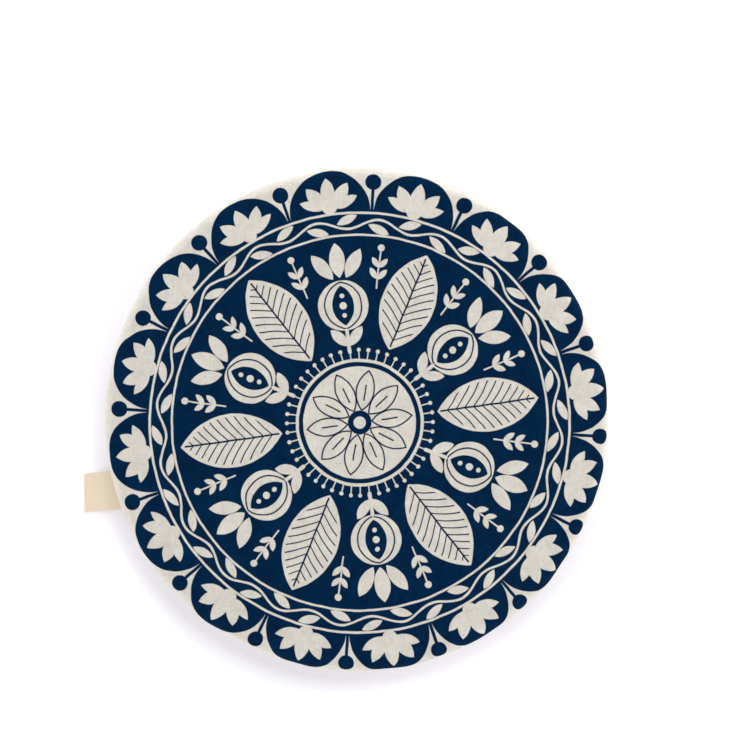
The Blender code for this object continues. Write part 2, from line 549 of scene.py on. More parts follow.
    def ground(self, plane: Plane) -> Field:
        """Return the inked ground, whose edge runs round in lobes with a berry in each notch.

        Args:
            plane: The print's plane.

        Returns:
            The signed distance from it.
        """
        lobe = plane.sectors(self.lobes).disc(*self.lobe)
        notch = plane.sectors(self.lobes, math.pi / self.lobes)
        berry = notch.disc(*self.notch_berry).least(notch.bar(*self.notch_stem))
        return (plane.radius() - self.ground_radius).least(lobe).least(berry)

    def ink(self, plane: Plane) -> Field:
        """Return how fully the ink covers the cloth.

        Args:
            plane: The flat cloth in millimetres.

        Returns:
            The ink's cover, from 0 on bare cloth to 1.
        """
        placed = plane.moved(*self.offset).turned(self.turn)
        open_cloth = self.flower(placed)
        parts = (self.rays, self.leaves, self.seed_heads, self.sprigs, self.vine, self.lobe_flowers)
        for part in parts:
            open_cloth = open_cloth.least(part(placed))
        return self.ground(placed).without(open_cloth).covered(self.edge)


@dataclass(frozen=True)
class Grain:
    """One noise of a cloth: its features' length each way in millimetres, its layers and seed."""

    across: float
    along: float
    detail: float = 2.0
    roughness: float = 0.5
    seed: float = 0.0


class Shader:
    """A new material with its Principled BSDF and short ways to add nodes."""

    def __init__(self, name: str) -> None:
        """Make the material and keep its parts at hand.

        Args:
            name: The material's name.
        """
        self.material = bpy.data.materials.new(name)
        self.material.use_nodes = True
        self.tree = self.material.node_tree
        self.bsdf = self.tree.nodes["Principled BSDF"]

    def node(self, kind: str) -> bpy.types.Node:
        """Add a node of a kind."""
        return self.tree.nodes.new("ShaderNode" + kind)

    def link(self, output: bpy.types.NodeSocket, place: bpy.types.NodeSocket) -> None:
        """Link an output to an input."""
        self.tree.links.new(output, place)

    def even(self, values: dict[str, "float | tuple[float, ...]"]) -> None:
        """Set the surface's inputs that have one value all over it."""
        for name, value in values.items():
            self.bsdf.inputs[name].default_value = value

    def flat_cloth(self) -> Plane:
        """Return the flat cloth's own coordinates, in millimetres.

        Returns:
            The plane that the piece's UV map gives.
        """
        uv = self.node("UVMap")
        uv.uv_map = CoverCloth.CUT_MAP
        split = self.node("SeparateXYZ")
        self.link(uv.outputs["UV"], split.inputs[0])
        x = Field(self.tree, split.outputs["X"]) * MILLIMETRES
        y = Field(self.tree, split.outputs["Y"]) * MILLIMETRES
        return Plane(x, y)

    def object_place(self) -> bpy.types.NodeSocket:
        """Return the place in the piece's own frame."""
        return self.node("TexCoord").outputs["Object"]

    def vector(self, x: Field, y: Field, z: "Field | float" = 0.0) -> bpy.types.NodeSocket:
        """Join three fields into a vector.

        Args:
            x: The first part.
            y: The second part.
            z: The third part, as a field or a plain number.

        Returns:
            The vector.
        """
        join = self.node("CombineXYZ")
        for index, part in enumerate((x, y, z)):
            if isinstance(part, Field):
                self.link(part.socket, join.inputs[index])
            else:
                join.inputs[index].default_value = part
        return join.outputs[0]

    def noise(
        self, x: Field, y: Field, z: "Field | float", detail: float, roughness: float
    ) -> Field:
        """Return a noise that has features one unit wide in the fields given.

        Args:
            x: The first coordinate, in feature widths.
            y: The second coordinate, in feature widths.
            z: The third coordinate, or a number that tells one noise from another.
            detail: How many finer layers the noise has.
            roughness: How strong the finer layers are.

        Returns:
            The noise, from 0 to 1 with a middle of 0.5.
        """
        node = self.node("TexNoise")
        node.inputs["Scale"].default_value = 1.0
        node.inputs["Detail"].default_value = detail
        node.inputs["Roughness"].default_value = roughness
        self.link(self.vector(x, y, z), node.inputs["Vector"])
        return Field(self.tree, node.outputs["Fac"])

    def grain(self, cloth: Plane, grain: Grain) -> Field:
        """Return a noise of the flat cloth, from 0 to 1."""
        x = cloth.x / grain.across
        return self.noise(x, cloth.y / grain.along, grain.seed, grain.detail, grain.roughness)

    def mix(
        self, share: Field, first: "bpy.types.NodeSocket | RGB", second: "bpy.types.NodeSocket | RGB"
    ) -> bpy.types.NodeSocket:
        """Return a colour that runs from the first to the second with the share.

        Args:
            share: How much of the second colour shows.
            first: A colour, as a socket or as it is seen on a screen.
            second: The other colour.

        Returns:
            The mixed colour.
        """
        node = self.node("Mix")
        node.data_type = "RGBA"
        self.link(share.socket, node.inputs["Factor"])
        for name, colour in (("A", first), ("B", second)):
            place = next(s for s in node.inputs if s.name == name and s.type == "RGBA")
            if isinstance(colour, bpy.types.NodeSocket):
                self.link(colour, place)
            else:
                place.default_value = linear(colour)
        return next(s for s in node.outputs if s.type == "RGBA")

    def brighten(self, colour: bpy.types.NodeSocket, value: Field) -> bpy.types.NodeSocket:
        """Return the colour with its brightness multiplied.

        Args:
            colour: The colour.
            value: What its brightness is multiplied by.

        Returns:
            The brightened colour.
        """
        node = self.node("VectorMath")
        node.operation = "SCALE"
        self.link(colour, node.inputs[0])
        self.link(value.socket, node.inputs["Scale"])
        return node.outputs[0]

    def bump(self, height: Field, depth: float) -> None:
        """Give the surface a relief.

        Args:
            height: The relief, from 0 to 1.
            depth: What a height of 1 stands for, in metres.
        """
        node = self.node("Bump")
        node.inputs["Strength"].default_value = 1.0
        node.inputs["Distance"].default_value = depth
        self.link(height.socket, node.inputs["Height"])
        self.link(node.outputs[0], self.bsdf.inputs["Normal"])

    def colour(self, socket: bpy.types.NodeSocket) -> None:
        """Link the surface's colour."""
        self.link(socket, self.bsdf.inputs["Base Color"])

    def roughness(self, value: Field) -> None:
        """Link the surface's roughness."""
        self.link(value.socket, self.bsdf.inputs["Roughness"])


@dataclass(frozen=True)
class Cotton:
    """Unbleached cotton in plain weave, printed on its right side."""

    cream: RGB = (226, 221, 210)
    slub: RGB = (214, 207, 194)
    husk: RGB = (150, 134, 112)
    nep: RGB = (244, 241, 232)
    navy: RGB = (0, 25, 55)
    worn_navy: RGB = (0, 44, 76)

    thread: float = 0.42
    thread_wander: float = 0.5
    warp_wander: Grain = Grain(3.0, 40.0, seed=3.0)
    weft_wander: Grain = Grain(40.0, 3.0, seed=7.0)
    warp_slubs: Grain = Grain(0.8, 8.0, 3.0, 0.6, 11.0)
    weft_slubs: Grain = Grain(8.0, 0.8, 3.0, 0.6, 17.0)
    slub_contrast: float = 3.0
    slub_share: float = 0.45
    mottles: tuple[tuple[Grain, float], ...] = (
        (Grain(1.0, 1.2, 2.0, 0.6, 31.0), 0.45),
        (Grain(2.6, 3.4, 3.0, 0.6, 27.0), 1.35),
        (Grain(9.0, 11.0, 2.0, 0.5, 23.0), 1.5),
    )
    mottle_depth: float = 0.2
    mottle_wear: float = 0.65

    husk_spacing: float = 2.2
    nep_spacing: float = 1.7
    nep_offset: Place = (31.0, 17.0)
    speck_growth: float = 0.9
    speck_sharpness: float = 5.0
    speck_strength: float = 0.6
    speck_least: float = 0.12

    # Painted highlight: the bare cloth is brightened within the reach of the rim's radius on the
    # flat cloth.
    rim_at: float = 140.0
    rim_reach: float = 6.0
    rim_highlight_level: float = 0.2

    crinkle_count: float = 70.0
    crinkle_start: float = 134.0
    crinkle_length: float = 20.0
    crinkle_detail: float = 2.0
    crinkle_roughness: float = 0.55
    soft_creases: Grain = Grain(26.0, 60.0, 3.0, 0.6, 37.0)
    weave_height: float = 0.28
    slub_height: float = 0.4
    crease_height: float = 0.6
    crinkle_height: float = 5.5
    relief_depth: float = 0.00022

    hand_sways: tuple[Grain, Grain] = (Grain(11.0, 11.0, seed=41.0), Grain(11.0, 11.0, seed=47.0))
    show_through: float = 0.13
    bare_roughness: float = 0.92
    inked_smoother: float = -0.1
    wrong_roughness: float = 0.93
    sheen: float = 0.015
    sheen_roughness: float = 0.6
    specular: float = 0.012

    def weave(self, shader: Shader, cloth: Plane) -> Field:
        """Return the relief of threads that pass over and under each other.

        Args:
            shader: The material's shader.
            cloth: The flat cloth in millimetres.

        Returns:
            The relief, about 0 to 1.
        """
        turn = math.pi / self.thread
        wander_x = shader.grain(cloth, self.warp_wander) * self.thread_wander
        wander_y = shader.grain(cloth, self.weft_wander) * self.thread_wander
        across = (cloth.x + wander_x) * turn
        along = (cloth.y + wander_y) * turn
        over = (across * 0.5).sin() * (along * 0.5).sin()
        lift = over.math("MULTIPLY_ADD", 0.5, 0.5)
        return across.sin().size() * lift + along.sin().size() * (lift * -1.0 + 1.0)

    def slubs(self, shader: Shader, cloth: Plane) -> Field:
        """Return the uneven threads: streaks along both directions of the weave."""
        upright = shader.grain(cloth, self.warp_slubs)
        return (upright + shader.grain(cloth, self.weft_slubs)) * 0.5

    def mottle(self, shader: Shader, cloth: Plane) -> Field:
        """Return the cloth's unevenness at three scales.

        Args:
            shader: The material's shader.
            cloth: The flat cloth in millimetres.

        Returns:
            The unevenness, about 0.
        """
        parts = [(shader.grain(cloth, grain) - 0.5) * share for grain, share in self.mottles]
        whole = parts[0]
        for part in parts[1:]:
            whole = whole + part
        return whole

    def painted_rim_highlight(self, cloth: Plane) -> Field:
        """Return the painted highlight that brightens the bare cloth where it turns over the rim."""
        apart = (cloth.radius() - self.rim_at).size()
        return (apart / -self.rim_reach).plus_held(1.0) * self.rim_highlight_level

    def cream_colour(
        self, shader: Shader, cloth: Plane, slubs: Field, mottle: Field
    ) -> bpy.types.NodeSocket:
        """Return the bare cloth's colour, with slubs, mottling, a painted rim highlight, husk flecks
        and pale neps.

        Args:
            shader: The material's shader.
            cloth: The flat cloth in millimetres.
            slubs: Its uneven threads.
            mottle: Its unevenness.

        Returns:
            The bare cloth's colour.
        """
        streaks = (slubs - 0.5).math("MULTIPLY_ADD", self.slub_contrast, self.slub_share, clamp=True)
        base = shader.mix(streaks, self.cream, self.slub)
        # The mottle varies the brightness, and a painted highlight brightens the bare cloth along
        # the rim.
        base = shader.brighten(base, mottle * self.mottle_depth + self.painted_rim_highlight(cloth) + 1.0)
        base = self.specked(shader, cloth, base, self.husk, self.husk_spacing)
        moved = cloth.moved(*self.nep_offset)
        return self.specked(shader, moved, base, self.nep, self.nep_spacing)

    def specked(
        self,
        shader: Shader,
        cloth: Plane,
        base: bpy.types.NodeSocket,
        colour: RGB,
        spacing: float,
    ) -> bpy.types.NodeSocket:
        """Return the base colour with small specks scattered in it.

        Args:
            shader: The material's shader.
            cloth: The flat cloth in millimetres.
            base: The colour to scatter them in.
            colour: The specks' own colour.
            spacing: The mean distance between two places where a speck can lie.

        Returns:
            The specked colour.
        """
        node = shader.node("TexVoronoi")
        node.inputs["Scale"].default_value = 1.0
        place = shader.vector(cloth.x / spacing, cloth.y / spacing)
        shader.link(place, node.inputs["Vector"])
        apart = Field(shader.tree, node.outputs["Distance"]) * spacing
        split = shader.node("SeparateColor")
        shader.link(node.outputs["Color"], split.inputs[0])
        chance = Field(shader.tree, split.outputs["Red"])
        size = (chance - 0.5).math("MULTIPLY", self.speck_growth, clamp=True)
        spots = (size - apart).math("MULTIPLY_ADD", self.speck_sharpness, 0.5, clamp=True)
        strength = Field(shader.tree, split.outputs["Green"]) * self.speck_strength
        return shader.mix(spots * (strength + self.speck_least), base, colour)

    def crinkles(self, shader: Shader, cloth: Plane) -> Field:
        """Return the fine crinkles that run down the gathered skirt, and none on the flat top.

        Args:
            shader: The material's shader.
            cloth: The flat cloth in millimetres.

        Returns:
            The crinkles' relief, about 0.
        """
        radius = cloth.radius()
        around_x = cloth.x / radius * self.crinkle_count
        around_y = cloth.y / radius * self.crinkle_count
        down = radius / self.crinkle_length
        streaks = shader.noise(around_x, around_y, down, self.crinkle_detail, self.crinkle_roughness)
        grown = ((radius - self.crinkle_start) / self.crinkle_length).plus_held(0.0)
        return (streaks - 0.5) * grown

    def relief(self, shader: Shader, cloth: Plane, slubs: Field) -> Field:
        """Return the cloth's whole relief: weave, slubs, soft creases and crinkles.

        Args:
            shader: The material's shader.
            cloth: The flat cloth in millimetres.
            slubs: Its uneven threads.

        Returns:
            The relief's height.
        """
        fine = self.weave(shader, cloth) * self.weave_height + slubs * self.slub_height
        creases = shader.grain(cloth, self.soft_creases) * self.crease_height
        return fine + creases + self.crinkles(shader, cloth) * self.crinkle_height

    def woven(self, name: str) -> tuple[Shader, Plane, Field, bpy.types.NodeSocket]:
        """Start a side's material with what both sides share.

        Args:
            name: The material's name.

        Returns:
            The shader, the flat cloth, its unevenness and the bare cloth's colour.
        """
        shader = Shader(name)
        cloth = shader.flat_cloth()
        slubs = self.slubs(shader, cloth)
        mottle = self.mottle(shader, cloth)
        shader.bump(self.relief(shader, cloth, slubs), self.relief_depth)
        shader.even(
            {
                "Sheen Weight": self.sheen,
                "Sheen Roughness": self.sheen_roughness,
                "Specular IOR Level": self.specular,
            }
        )
        return shader, cloth, mottle, self.cream_colour(shader, cloth, slubs, mottle)

    def right_side(self, design: Rosette) -> bpy.types.Material:
        """Return the printed side's material.

        Args:
            design: The print.

        Returns:
            The material.
        """
        shader, cloth, mottle, bare = self.woven("printed_cotton_right_side")
        sways = [(shader.grain(cloth, grain) - 0.5) * 2.0 for grain in self.hand_sways]
        drawn_x = cloth.x + sways[0] * design.hand_wobble
        drawn_y = cloth.y + sways[1] * design.hand_wobble
        ink = design.ink(Plane(drawn_x, drawn_y))
        worn = (mottle * self.mottle_wear).plus_held(0.5)
        inked = shader.mix(worn, self.navy, self.worn_navy)
        shader.colour(shader.mix(ink, bare, inked))
        shader.roughness(ink * self.inked_smoother + self.bare_roughness)
        return shader.material

    def wrong_side(self, design: Rosette) -> bpy.types.Material:
        """Return the inside's material, where the print only shows through faintly.

        Args:
            design: The print.

        Returns:
            The material.
        """
        shader, cloth, _, bare = self.woven("printed_cotton_wrong_side")
        shown = design.ink(cloth) * self.show_through
        shader.colour(shader.mix(shown, bare, self.navy))
        shader.even({"Roughness": self.wrong_roughness})
        return shader.material


@dataclass(frozen=True)
class Tape:
    """Undyed cotton tape in a fine rib weave."""

    light: RGB = (250, 235, 210)
    dark: RGB = (247, 225, 198)
    rib: float = 0.55
    thread: float = 0.4
    streaks: Grain = Grain(0.5, 5.0, 3.0, 0.6, 5.0)
    clouds: Grain = Grain(8.0, 8.0, 2.0, 0.5, 9.0)
    streak_share: float = 0.7
    cloud_share: float = 0.5
    # Painted shade: the rib crests are drawn lighter than the hollows between them.
    rib_painted_shade: float = -0.15
    base_share: float = -0.12
    rib_height: float = 0.6
    thread_height: float = 0.2
    streak_height: float = 0.4
    relief_depth: float = 0.00018
    roughness: float = 0.85
    sheen: float = 0.1
    specular: float = 0.2

    def material(self) -> bpy.types.Material:
        """Return the tape's material, whose ribs run across its own length.

        Returns:
            The material.
        """
        shader = Shader("cotton_tape")
        tape = shader.flat_cloth()
        ribs = (tape.x * (math.pi / self.rib)).sin().size()
        threads = (tape.y * (math.pi / self.thread)).sin().size()
        streaks = shader.grain(tape, self.streaks)
        clouds = shader.grain(tape, self.clouds)
        # The ribs' term is painted shade: lighter on the crests and darker in the hollows.
        share = streaks * self.streak_share + clouds * self.cloud_share + ribs * self.rib_painted_shade
        shader.colour(shader.mix(share.plus_held(self.base_share), self.light, self.dark))
        height = ribs * self.rib_height + threads * self.thread_height
        shader.bump(height + streaks * self.streak_height, self.relief_depth)
        shader.even(
            {
                "Roughness": self.roughness,
                "Sheen Weight": self.sheen,
                "Specular IOR Level": self.specular,
            }
        )
        return shader.material


@dataclass(frozen=True)
class Thread:
    """Sewing thread in undyed cotton."""

    name: str
    colour: RGB
    shade: RGB = (170, 158, 136)
    shade_share: float = 0.35
    twist_scale: float = 900.0
    twist_depth: float = 0.00005
    roughness: float = 0.7

    def material(self) -> bpy.types.Material:
        """Return the thread's material, with a twist in its relief.

        Returns:
            The material.
        """
        shader = Shader(self.name)
        wave = shader.node("TexWave")
        wave.bands_direction = "DIAGONAL"
        wave.inputs["Scale"].default_value = self.twist_scale
        shader.link(shader.object_place(), wave.inputs["Vector"])
        twist = Field(shader.tree, wave.outputs["Fac"])
        shader.colour(shader.mix(twist * self.shade_share, self.colour, self.shade))
        shader.bump(twist, self.twist_depth)
        shader.even({"Roughness": self.roughness})
        return shader.material


@dataclass(frozen=True)
class RibbedElastic:
    """White knitted elastic with ribs along its length."""

    colour: RGB = (226, 223, 215)
    ridge: RGB = (196, 192, 182)
    ridge_share: float = 0.5
    rib: float = 0.8
    rib_depth: float = 0.0002
    roughness: float = 0.75

    def material(self) -> bpy.types.Material:
        """Return the elastic's material.

        Returns:
            The material.
        """
        shader = Shader("ribbed_elastic")
        split = shader.node("SeparateXYZ")
        shader.link(shader.object_place(), split.inputs[0])
        height = Field(shader.tree, split.outputs["Z"]) * MILLIMETRES
        ribs = (height * (math.pi / self.rib)).sin().size()
        shader.colour(shader.mix(ribs * self.ridge_share, self.colour, self.ridge))
        shader.bump(ribs, self.rib_depth)
        shader.even({"Roughness": self.roughness})
        return shader.material


@dataclass
class Gathers:
    """How the cloth's spare length lies round the hem: gathers, sharp creases and puckers."""

    count: int = 48
    seed: int = 11
    uneven_width: float = 0.22
    uneven_depth: float = 0.20
    take_up: float = 0.75
    round_crests: float = 0.32
    sharp_hollows: float = 0.1
    columns_each: int = 20
    start_range: Place = (0.02, 0.42)
    sway: float = 0.022
    pucker_kinds: int = 14
    pucker_range: tuple[int, int] = (90, 230)
    pucker_slant: float = 260.0
    wander_waves: tuple[int, ...] = (5, 8, 13, 21, 29, 37)
    crease_count: int = 132
    crease_places: Place = (0.1, 0.9)
    crease_depth_range: Place = (0.25, 1.0)
    crease_width_range: Place = (0.0011, 0.0026)
    crease_start_range: Place = (0.0, 0.65)
    crease_sway: float = 0.03
    angles: np.ndarray = field(init=False)
    waves: np.ndarray = field(init=False)

    def __post_init__(self) -> None:
        """Lay the gathers out round the hem."""
        rng = np.random.default_rng(self.seed)
        widths = 1 + self.uneven_width * rng.uniform(-1, 1, self.count)
        widths *= FULL_TURN / widths.sum()
        depths = 1 + self.uneven_depth * rng.uniform(-1, 1, self.count)
        starts = np.concatenate(([0.0], np.cumsum(widths)[:-1]))
        shares = np.arange(self.columns_each) / self.columns_each
        turns = FULL_TURN * shares
        crest = np.sin(turns) + self.round_crests * np.cos(2 * turns)
        crest -= self.sharp_hollows * np.sin(3 * turns)
        self.angles = (starts[:, None] + widths[:, None] * shares).ravel()
        self.waves = (depths[:, None] * crest).ravel()
        self.centres = starts + widths / 2
        self.starts = rng.uniform(*self.start_range, self.count)
        self.sways = rng.uniform(-1, 1, self.count)
        self.pucker_counts = rng.integers(*self.pucker_range, self.pucker_kinds)
        self.pucker_phases = rng.uniform(0, FULL_TURN, self.pucker_kinds)
        self.pucker_slants = rng.uniform(-self.pucker_slant, self.pucker_slant, self.pucker_kinds)
        self.wander_phases = rng.uniform(0, FULL_TURN, len(self.wander_waves))
        places = np.arange(self.crease_count) + rng.uniform(*self.crease_places, self.crease_count)
        self.crease_angles = places * FULL_TURN / self.crease_count
        self.crease_depths = rng.uniform(*self.crease_depth_range, self.crease_count)
        self.crease_widths = rng.uniform(*self.crease_width_range, self.crease_count)
        self.crease_starts = rng.uniform(*self.crease_start_range, self.crease_count)
        self.crease_sways = rng.uniform(-1, 1, self.crease_count)

    def wave(self, angles: np.ndarray) -> np.ndarray:
        """Return the main gathers' wave at any angles: about +1 on a crest, -1 in a hollow."""
        return np.interp(angles, self.angles, self.waves, period=FULL_TURN)

    def start(self, angles: np.ndarray) -> np.ndarray:
        """Return how far down the skirt the gather at each angle begins, from 0 to 1."""
        return np.interp(angles, self.centres, self.starts, period=FULL_TURN)

    def leaning(self, angles: np.ndarray) -> np.ndarray:
        """Return the angle by which each gather leans aside on its way up the skirt."""
        return self.sway * np.interp(angles, self.centres, self.sways, period=FULL_TURN)

    def puckers(self, angles: np.ndarray, height: float) -> np.ndarray:
        """Return the fine puckers' wave, which slants from one height to the next.

        Args:
            angles: The angles round the cover.
            height: The height of the ring they are looked up on.

        Returns:
            One value for each angle, about -1 to 1.
        """
        turns = np.outer(angles, self.pucker_counts) + self.pucker_phases
        turns += self.pucker_slants * height
        return np.sin(turns).sum(axis=1) / math.sqrt(self.pucker_kinds)

    def creases(self, angles: np.ndarray, radius: float, down: float) -> np.ndarray:
        """Return how deep the sharp creases cut into the cloth.

        Args:
            angles: The angles round the cover.
            radius: The radius of the ring they are looked up on.
            down: How far that ring lies down the skirt, from 0 to 1.

        Returns:
            One depth for each angle, about 1 in the deepest crease.
        """
        centres = self.crease_angles + self.crease_sway * self.crease_sways * (1 - down)
        apart = about_zero(angles[:, None] - centres)
        near = np.abs(apart) * radius / self.crease_widths
        grown = smoothstep((down - self.crease_starts) / (1 - self.crease_starts))
        return (self.crease_depths * grown * np.exp(-near)).sum(axis=1)

    def wander(self, angles: np.ndarray) -> np.ndarray:
        """Return the slow unevenness of the rim and the seam, about -1 to 1."""
        turns = np.outer(angles, self.wander_waves) + self.wander_phases
        return np.sin(turns).sum(axis=1) / math.sqrt(len(self.wander_waves))

    def depth(self, cut_radius: float, radius: float) -> float:
        """Return the depth of a gather that takes up the cloth's spare length at a radius.

        Args:
            cut_radius: How far that ring of cloth lies from the middle of the flat round.
            radius: The ring's radius on the cover.

        Returns:
            How far a crest stands out from the ring.
        """
        fullness = max(cut_radius / radius, 1.0)
        quarter = FULL_TURN * radius / self.count / 4
        return self.take_up * quarter * math.sqrt(fullness**2 - 1)


@dataclass
class Ring:
    """One ring of the cloth's section.

    Down is how far it lies down the skirt, from 0 at the rim to 1 at the seam. Gathered is 1
    where the gathers move it and 0 where it is taut. Stopped_in and stopped_out say how fully
    the elastic stops it from moving that way. Behind is how far it lies inside the hem's
    outer wall, cut is its radius on the flat cloth, and depth is how far a gather moves it.
    Wavering is how fully it follows the seam up and down.
    """

    radius: float
    height: float
    down: float = 1.0
    gathered: float = 1.0
    puckered: float = 1.0
    stopped_in: float = 0.0
    stopped_out: float = 0.0
    behind: float = 0.0
    wavering: float = 0.0
    cut: float = 0.0
    depth: float = 0.0


@dataclass
class CoverCloth:
    """The round of printed cotton: flat top, turned rim, gathered skirt and hem casing."""

    CUT_MAP = "flat_cloth"

    gathers: Gathers
    rim_radius: float = 0.140
    rim_round: float = 0.0055
    thickness: float = 0.0005
    skirt_drop: float = 0.022
    seam_inset: float = 0.0115
    hem_inset: float = 0.013
    elastic_width: float = 0.008
    elastic_thickness: float = 0.001
    casing_ease: float = 0.002
    fold_width: float = 0.0022
    edge_gap: float = 0.0003
    clearance: float = 0.0003

    pucker_depth: float = 0.00026
    crease_depth: float = 0.0021
    crease_mean: float = 0.3
    rim_wander: float = 0.0003
    rim_band: float = 0.125
    seam_waver: float = 0.0005
    seam_pinch: float = 0.00035
    pinch_above: float = 1 / 3
    wall_puff: float = 0.0005
    slack_puckers: float = 0.45
    fold_puckers: float = 0.5
    fold_round: float = 0.55

    top_steps: int = 5
    top_spread: float = 0.7
    rim_steps: int = 6
    skirt_steps: int = 17
    skirt_spread: float = 1.3
    skirt_draw: float = 1.25
    pucker_growth: Place = (0.35, 0.85)
    outer_steps: int = 10
    inner_steps: int = 7
    wall_close: float = 0.72
    fold_steps: int = 4
    merge_distance: float = 0.00002

    label_width: float = 0.022
    label_facing: float = math.radians(185.5)
    label_aside: float = 0.0276
    label_margin: float = 0.0015
    label_reach: float = math.radians(60)
    rings: list[Ring] = field(default_factory=list)
    seam: int = 0

    def __post_init__(self) -> None:
        """Work out the sizes that follow from the others, and the section."""
        self.rim_inside = self.rim_radius - self.thickness
        self.seam_radius = self.rim_inside - self.seam_inset
        self.seam_height = -self.rim_round - self.skirt_drop
        self.casing_height = self.elastic_width + 2 * self.casing_ease
        self.fold_height = self.seam_height - self.casing_height
        self.hem_radius = self.rim_radius - self.hem_inset
        self.elastic_height = self.seam_height - self.casing_height / 2
        half = self.elastic_thickness / 2 + self.clearance
        self.casing_outside = self.hem_radius + half
        self.casing_inside = self.hem_radius - half
        near = max(self.label_aside - self.label_width / 2 - self.label_margin, 0.0)
        self.label_wall = math.sqrt(self.casing_outside**2 - near**2)
        self.lay_section()

    def top_rings(self) -> list[Ring]:
        """Return the rings of the flat top and of the turned rim, which are drawn taut.

        Returns:
            The rings, from the middle outwards.
        """
        top_radius = self.rim_inside - self.rim_round
        shares = [(step / self.top_steps) ** self.top_spread for step in range(self.top_steps)]
        places = [(top_radius * share, 0.0) for share in shares]
        for step in range(self.rim_steps + 1):
            angle = math.pi / 2 * step / self.rim_steps
            radius = top_radius + self.rim_round * math.sin(angle)
            height = self.rim_round * math.cos(angle) - self.rim_round
            places.append((radius, height))
        return [Ring(r, h, down=0.0, gathered=0.0, puckered=0.0) for r, h in places]

    def skirt_rings(self) -> list[Ring]:
        """Return the rings of the skirt.

        Returns:
            The rings, down to the seam.
        """
        rings = []
        low, high = self.pucker_growth
        for step in range(1, self.skirt_steps + 1):
            share = 1 - (1 - step / self.skirt_steps) ** self.skirt_spread
            radius = self.rim_inside - self.seam_inset * share**self.skirt_draw
            height = -self.rim_round - self.skirt_drop * share
            puckered = float(smoothstep((share - low) / (high - low)))
            rings.append(Ring(radius, height, down=share, puckered=puckered, wavering=share**2))
        rings[-1].radius -= self.seam_pinch
        rings[-2].radius -= self.seam_pinch * self.pinch_above
        return rings

    def wall_rings(self, inner: bool) -> list[Ring]:
        """Return one wall of the casing, from the seam down to the fold.

        Args:
            inner: Whether it is the wall on the inside, which is the folded-up one.

        Returns:
            The rings between the seam and the fold, from the top down.
        """
        sign = -1 if inner else 1
        top = self.seam_radius - self.seam_pinch - (self.edge_gap if inner else 0.0)
        middle = self.casing_inside if inner else self.casing_outside
        bottom = self.hem_radius + sign * self.fold_width / 2
        steps = self.inner_steps if inner else self.outer_steps
        rings = []
        for step in range(1, steps):
            share = step / steps
            height = self.seam_height - self.casing_height * share
            reach = abs(height - self.elastic_height) / (self.casing_height / 2)
            end = top if share < 0.5 else bottom
            close = float(smoothstep((reach - self.wall_close) / (1 - self.wall_close)))
            puff = self.wall_puff * (1 - reach**2) * sign
            ring = Ring(middle + (end - middle) * close + puff, height, wavering=1 - share)
            ring.puckered = self.slack_puckers + (1 - self.slack_puckers) * close
            if inner:
                ring.stopped_out = 1 - close
                ring.behind = self.casing_outside - self.casing_inside
            else:
                ring.stopped_in = 1 - close
            rings.append(ring)
        return rings

    def fold_rings(self) -> list[Ring]:
        """Return the round turn of the fold, which stands flat on the table.

        Returns:
            The rings, from the outer wall to the inner one.
        """
        half = self.fold_width / 2
        turn = half * self.fold_round
        rings = []
        for step in range(self.fold_steps + 1):
            angle = math.pi * step / self.fold_steps
            side = np.sign(round(math.cos(angle), 6))
            radius = self.hem_radius + side * (half - turn) + turn * math.cos(angle)
            height = self.fold_height + turn - turn * math.sin(angle)
            behind = self.hem_radius + half - radius
            rings.append(Ring(radius, height, puckered=self.fold_puckers, behind=behind))
        return rings

    def lay_section(self) -> None:
        """Lay out all the rings, and find each one's place on the flat cloth."""
        skirt = self.top_rings() + self.skirt_rings()
        self.seam = len(skirt) - 1
        outer = self.wall_rings(inner=False)
        fold = self.fold_rings()
        inner = list(reversed(self.wall_rings(inner=True)))
        edge_radius = skirt[-1].radius - self.edge_gap
        edge = Ring(edge_radius, self.seam_height, behind=self.edge_gap, wavering=1.0)
        self.rings = skirt + outer + fold + inner + [edge]
        cut = 0.0
        for last, ring in zip(self.rings, self.rings[1:]):
            cut += math.hypot(ring.radius - last.radius, ring.height - last.height)
            ring.cut = cut
            ring.depth = ring.gathered * self.gathers.depth(cut, ring.radius)
        fold_depth = fold[0].depth
        for ring in fold:
            ring.depth = fold_depth
        seam_depth = self.rings[self.seam].depth
        for step, ring in enumerate(inner, start=1):
            share = float(smoothstep(step / (len(inner) + 1)))
            ring.depth = fold_depth + (seam_depth - fold_depth) * share
        edge.depth = seam_depth

    def label_hold(self, angles: np.ndarray) -> np.ndarray:
        """Return how fully the label flattens the gathers.

        Args:
            angles: The angles round the cover.

        Returns:
            One share for each angle, from 0 to 1.
        """
        turned = about_zero(angles - self.label_facing)
        near = np.abs(turned) < self.label_reach
        beyond = np.abs(self.label_wall * np.tan(np.where(near, turned, 0)) - self.label_aside)
        beyond -= self.label_width / 2 + self.label_margin
        gather_width = FULL_TURN * self.hem_radius / self.gathers.count
        return np.where(near, smoothstep(1 - beyond / gather_width), 0.0)

